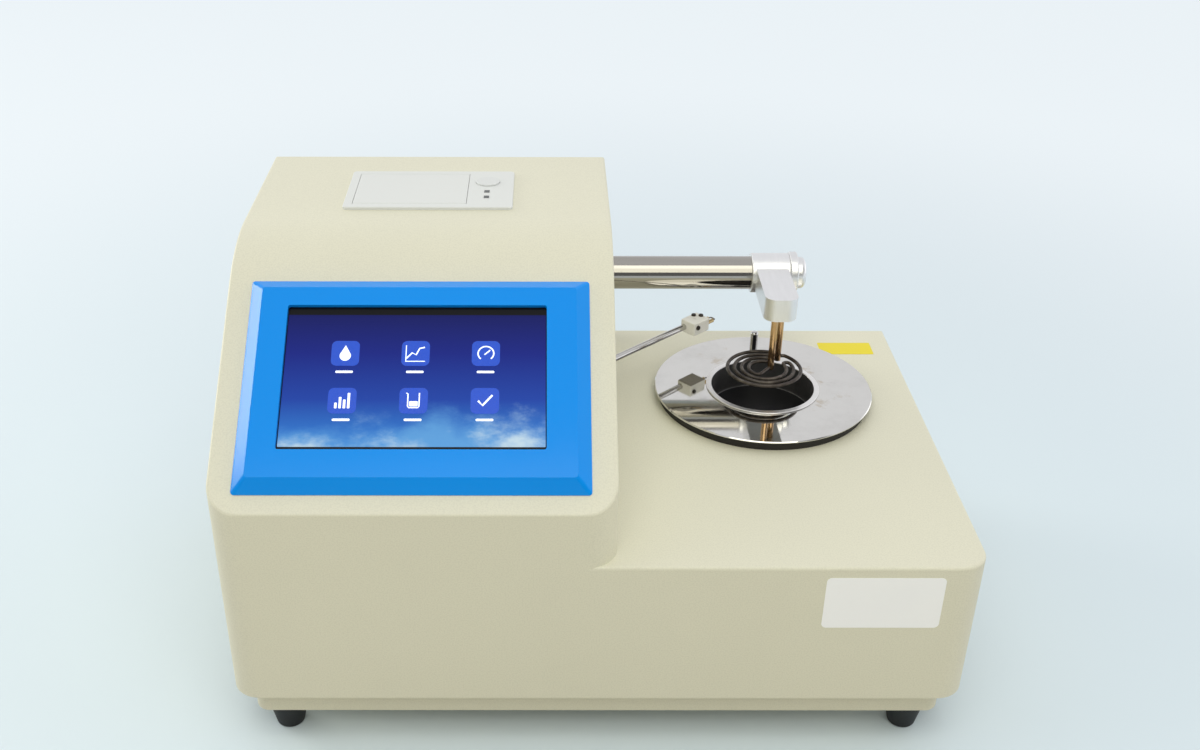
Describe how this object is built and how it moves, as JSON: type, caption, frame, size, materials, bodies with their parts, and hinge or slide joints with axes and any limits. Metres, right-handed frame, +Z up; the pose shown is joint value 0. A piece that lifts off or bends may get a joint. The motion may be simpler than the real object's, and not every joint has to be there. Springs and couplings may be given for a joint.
{
  "type": "flash point tester",
  "caption": "Bench open-cup flash point tester: stepped casing with sloping screen, panel printer, heated cup seat, lifting coil arm and swinging hot-wire igniter.",
  "frame": {"origin": "on the ground under the middle of the casing's footprint", "axes": "+X to the right seen from the front, +Y to the back, +Z up; the front faces -Y"},
  "size_m": [0.45, 0.3002, 0.2799],
  "materials": {
    "casing_paint": "satin cream powder coat",
    "screw_steel": "plated",
    "foot_rubber": "matt black",
    "bezel_blue": "satin blue",
    "screen_glass": "glossy display glass, opaque",
    "inner_steel": "plain sheet",
    "printer_white": "matt white",
    "dark_plastic": "matt black",
    "board_green": "satin",
    "paper": "matt white",
    "label_yellow": "satin yellow",
    "mirror_steel": "mirror polished",
    "well_steel": "dark, heat tinted",
    "insulation": "felted fibre",
    "machined_aluminium": "satin machined",
    "ceramic": "matt ceramic",
    "brass": "dull"
  },
  "bodies": {
    "instrument": {"tower_wrap": "casing_paint", "tower_left_side": "casing_paint", "tower_right_side": "casing_paint", "deck_plate": "casing_paint", "deck_skirt": "casing_paint", "rear_panel": "casing_paint", "base_tray": "casing_paint", "case_screws": "screw_steel", "base_screws": "screw_steel", "tray_posts": "screw_steel", "rubber_feet": "foot_rubber", "screen_bezel": "bezel_blue", "touch_glass": "screen_glass", "display_module": "inner_steel", "display_straps": "inner_steel", "lift_stand": "inner_steel", "swing_stand": "inner_steel", "power_supply": "inner_steel", "heater_cover": "inner_steel", "lift_motor": "inner_steel", "printer_frame": "printer_white", "printer_lamps": "dark_plastic", "print_head": "dark_plastic", "plate_spacer": "dark_plastic", "fan_frame": "dark_plastic", "mains_inlet": "dark_plastic", "switch_housing": "dark_plastic", "swing_motor": "dark_plastic", "circuit_boards": "board_green", "front_label": "paper", "deck_label": "label_yellow", "heat_plate": "mirror_steel", "heating_well": "well_steel", "sensor_pin": "well_steel", "heater_element": "well_steel", "insulation_cup": "insulation", "arm_bearings": "brass"},
    "arm": {"arm_tube": "mirror_steel", "arm_head": "machined_aluminium", "grub_screw": "screw_steel", "arm_end_cap": "machined_aluminium", "rod_insulators": "ceramic", "coil_rods": "brass", "heating_coil": "well_steel", "arm_collar": "machined_aluminium", "arm_gear": "brass"},
    "pinion": {"pinion_shaft": "screw_steel"},
    "igniter": {"swing_shaft": "screw_steel", "igniter_hub": "machined_aluminium", "igniter_rod": "well_steel", "igniter_block": "ceramic", "igniter_screws": "screw_steel", "igniter_terminals": "brass", "igniter_wire": "well_steel"},
    "paper_door": {"printer_door": "printer_white"},
    "platen": {"platen_roller": "foot_rubber"},
    "paper": {"paper_roll": "paper"},
    "feed_key": {"feed_button": "printer_white"},
    "fan": {"fan_rotor": "dark_plastic"},
    "power_key": {"rocker": "dark_plastic"}
  },
  "joints": [
    {"name": "arm_lift", "type": "hinge", "parent": "instrument", "child": "arm", "pos_m": [0.1185, 0.11, 0.2058], "axis": [-1, 0, 0], "range_deg": [0, 120]},
    {"name": "pinion_turn", "type": "hinge", "parent": "instrument", "child": "pinion", "pos_m": [-0.032, 0.11, 0.1708], "axis": [-1, 0, 0], "range_deg": [-301, 0]},
    {"name": "igniter_swing", "type": "hinge", "parent": "instrument", "child": "igniter", "pos_m": [-0.026, 0.00631, 0.1712], "axis": [0, 0, 1], "range_deg": [-46, 0]},
    {"name": "paper_door_hinge", "type": "hinge", "parent": "instrument", "child": "paper_door", "pos_m": [-0.1217, 0.058, 0.277], "axis": [1, 0, 0], "range_deg": [0, 95]},
    {"name": "platen_spin", "type": "hinge", "parent": "paper_door", "child": "platen", "pos_m": [-0.1217, 0.104, 0.2722], "axis": [1, 0, 0], "continuous": true},
    {"name": "paper_spin", "type": "hinge", "parent": "instrument", "child": "paper", "pos_m": [-0.1217, 0.076, 0.2501], "axis": [1, 0, 0], "continuous": true},
    {"name": "feed_press", "type": "slide", "parent": "instrument", "child": "feed_key", "axis": [0, 0, -1], "range_m": [0, 0.0012], "stiffness_N_per_m": 400, "springref_m": -0.001},
    {"name": "fan_spin", "type": "hinge", "parent": "instrument", "child": "fan", "pos_m": [-0.129, 0.136, 0.169], "axis": [0, 1, 0], "continuous": true},
    {"name": "power_rock", "type": "hinge", "parent": "instrument", "child": "power_key", "pos_m": [-0.133, 0.1395, 0.078], "axis": [1, 0, 0], "range_deg": [0, 18]}
  ],
  "couplings": [
    {"joint": "pinion_turn", "follows": "arm_lift", "ratio": -2.5}
  ]
}
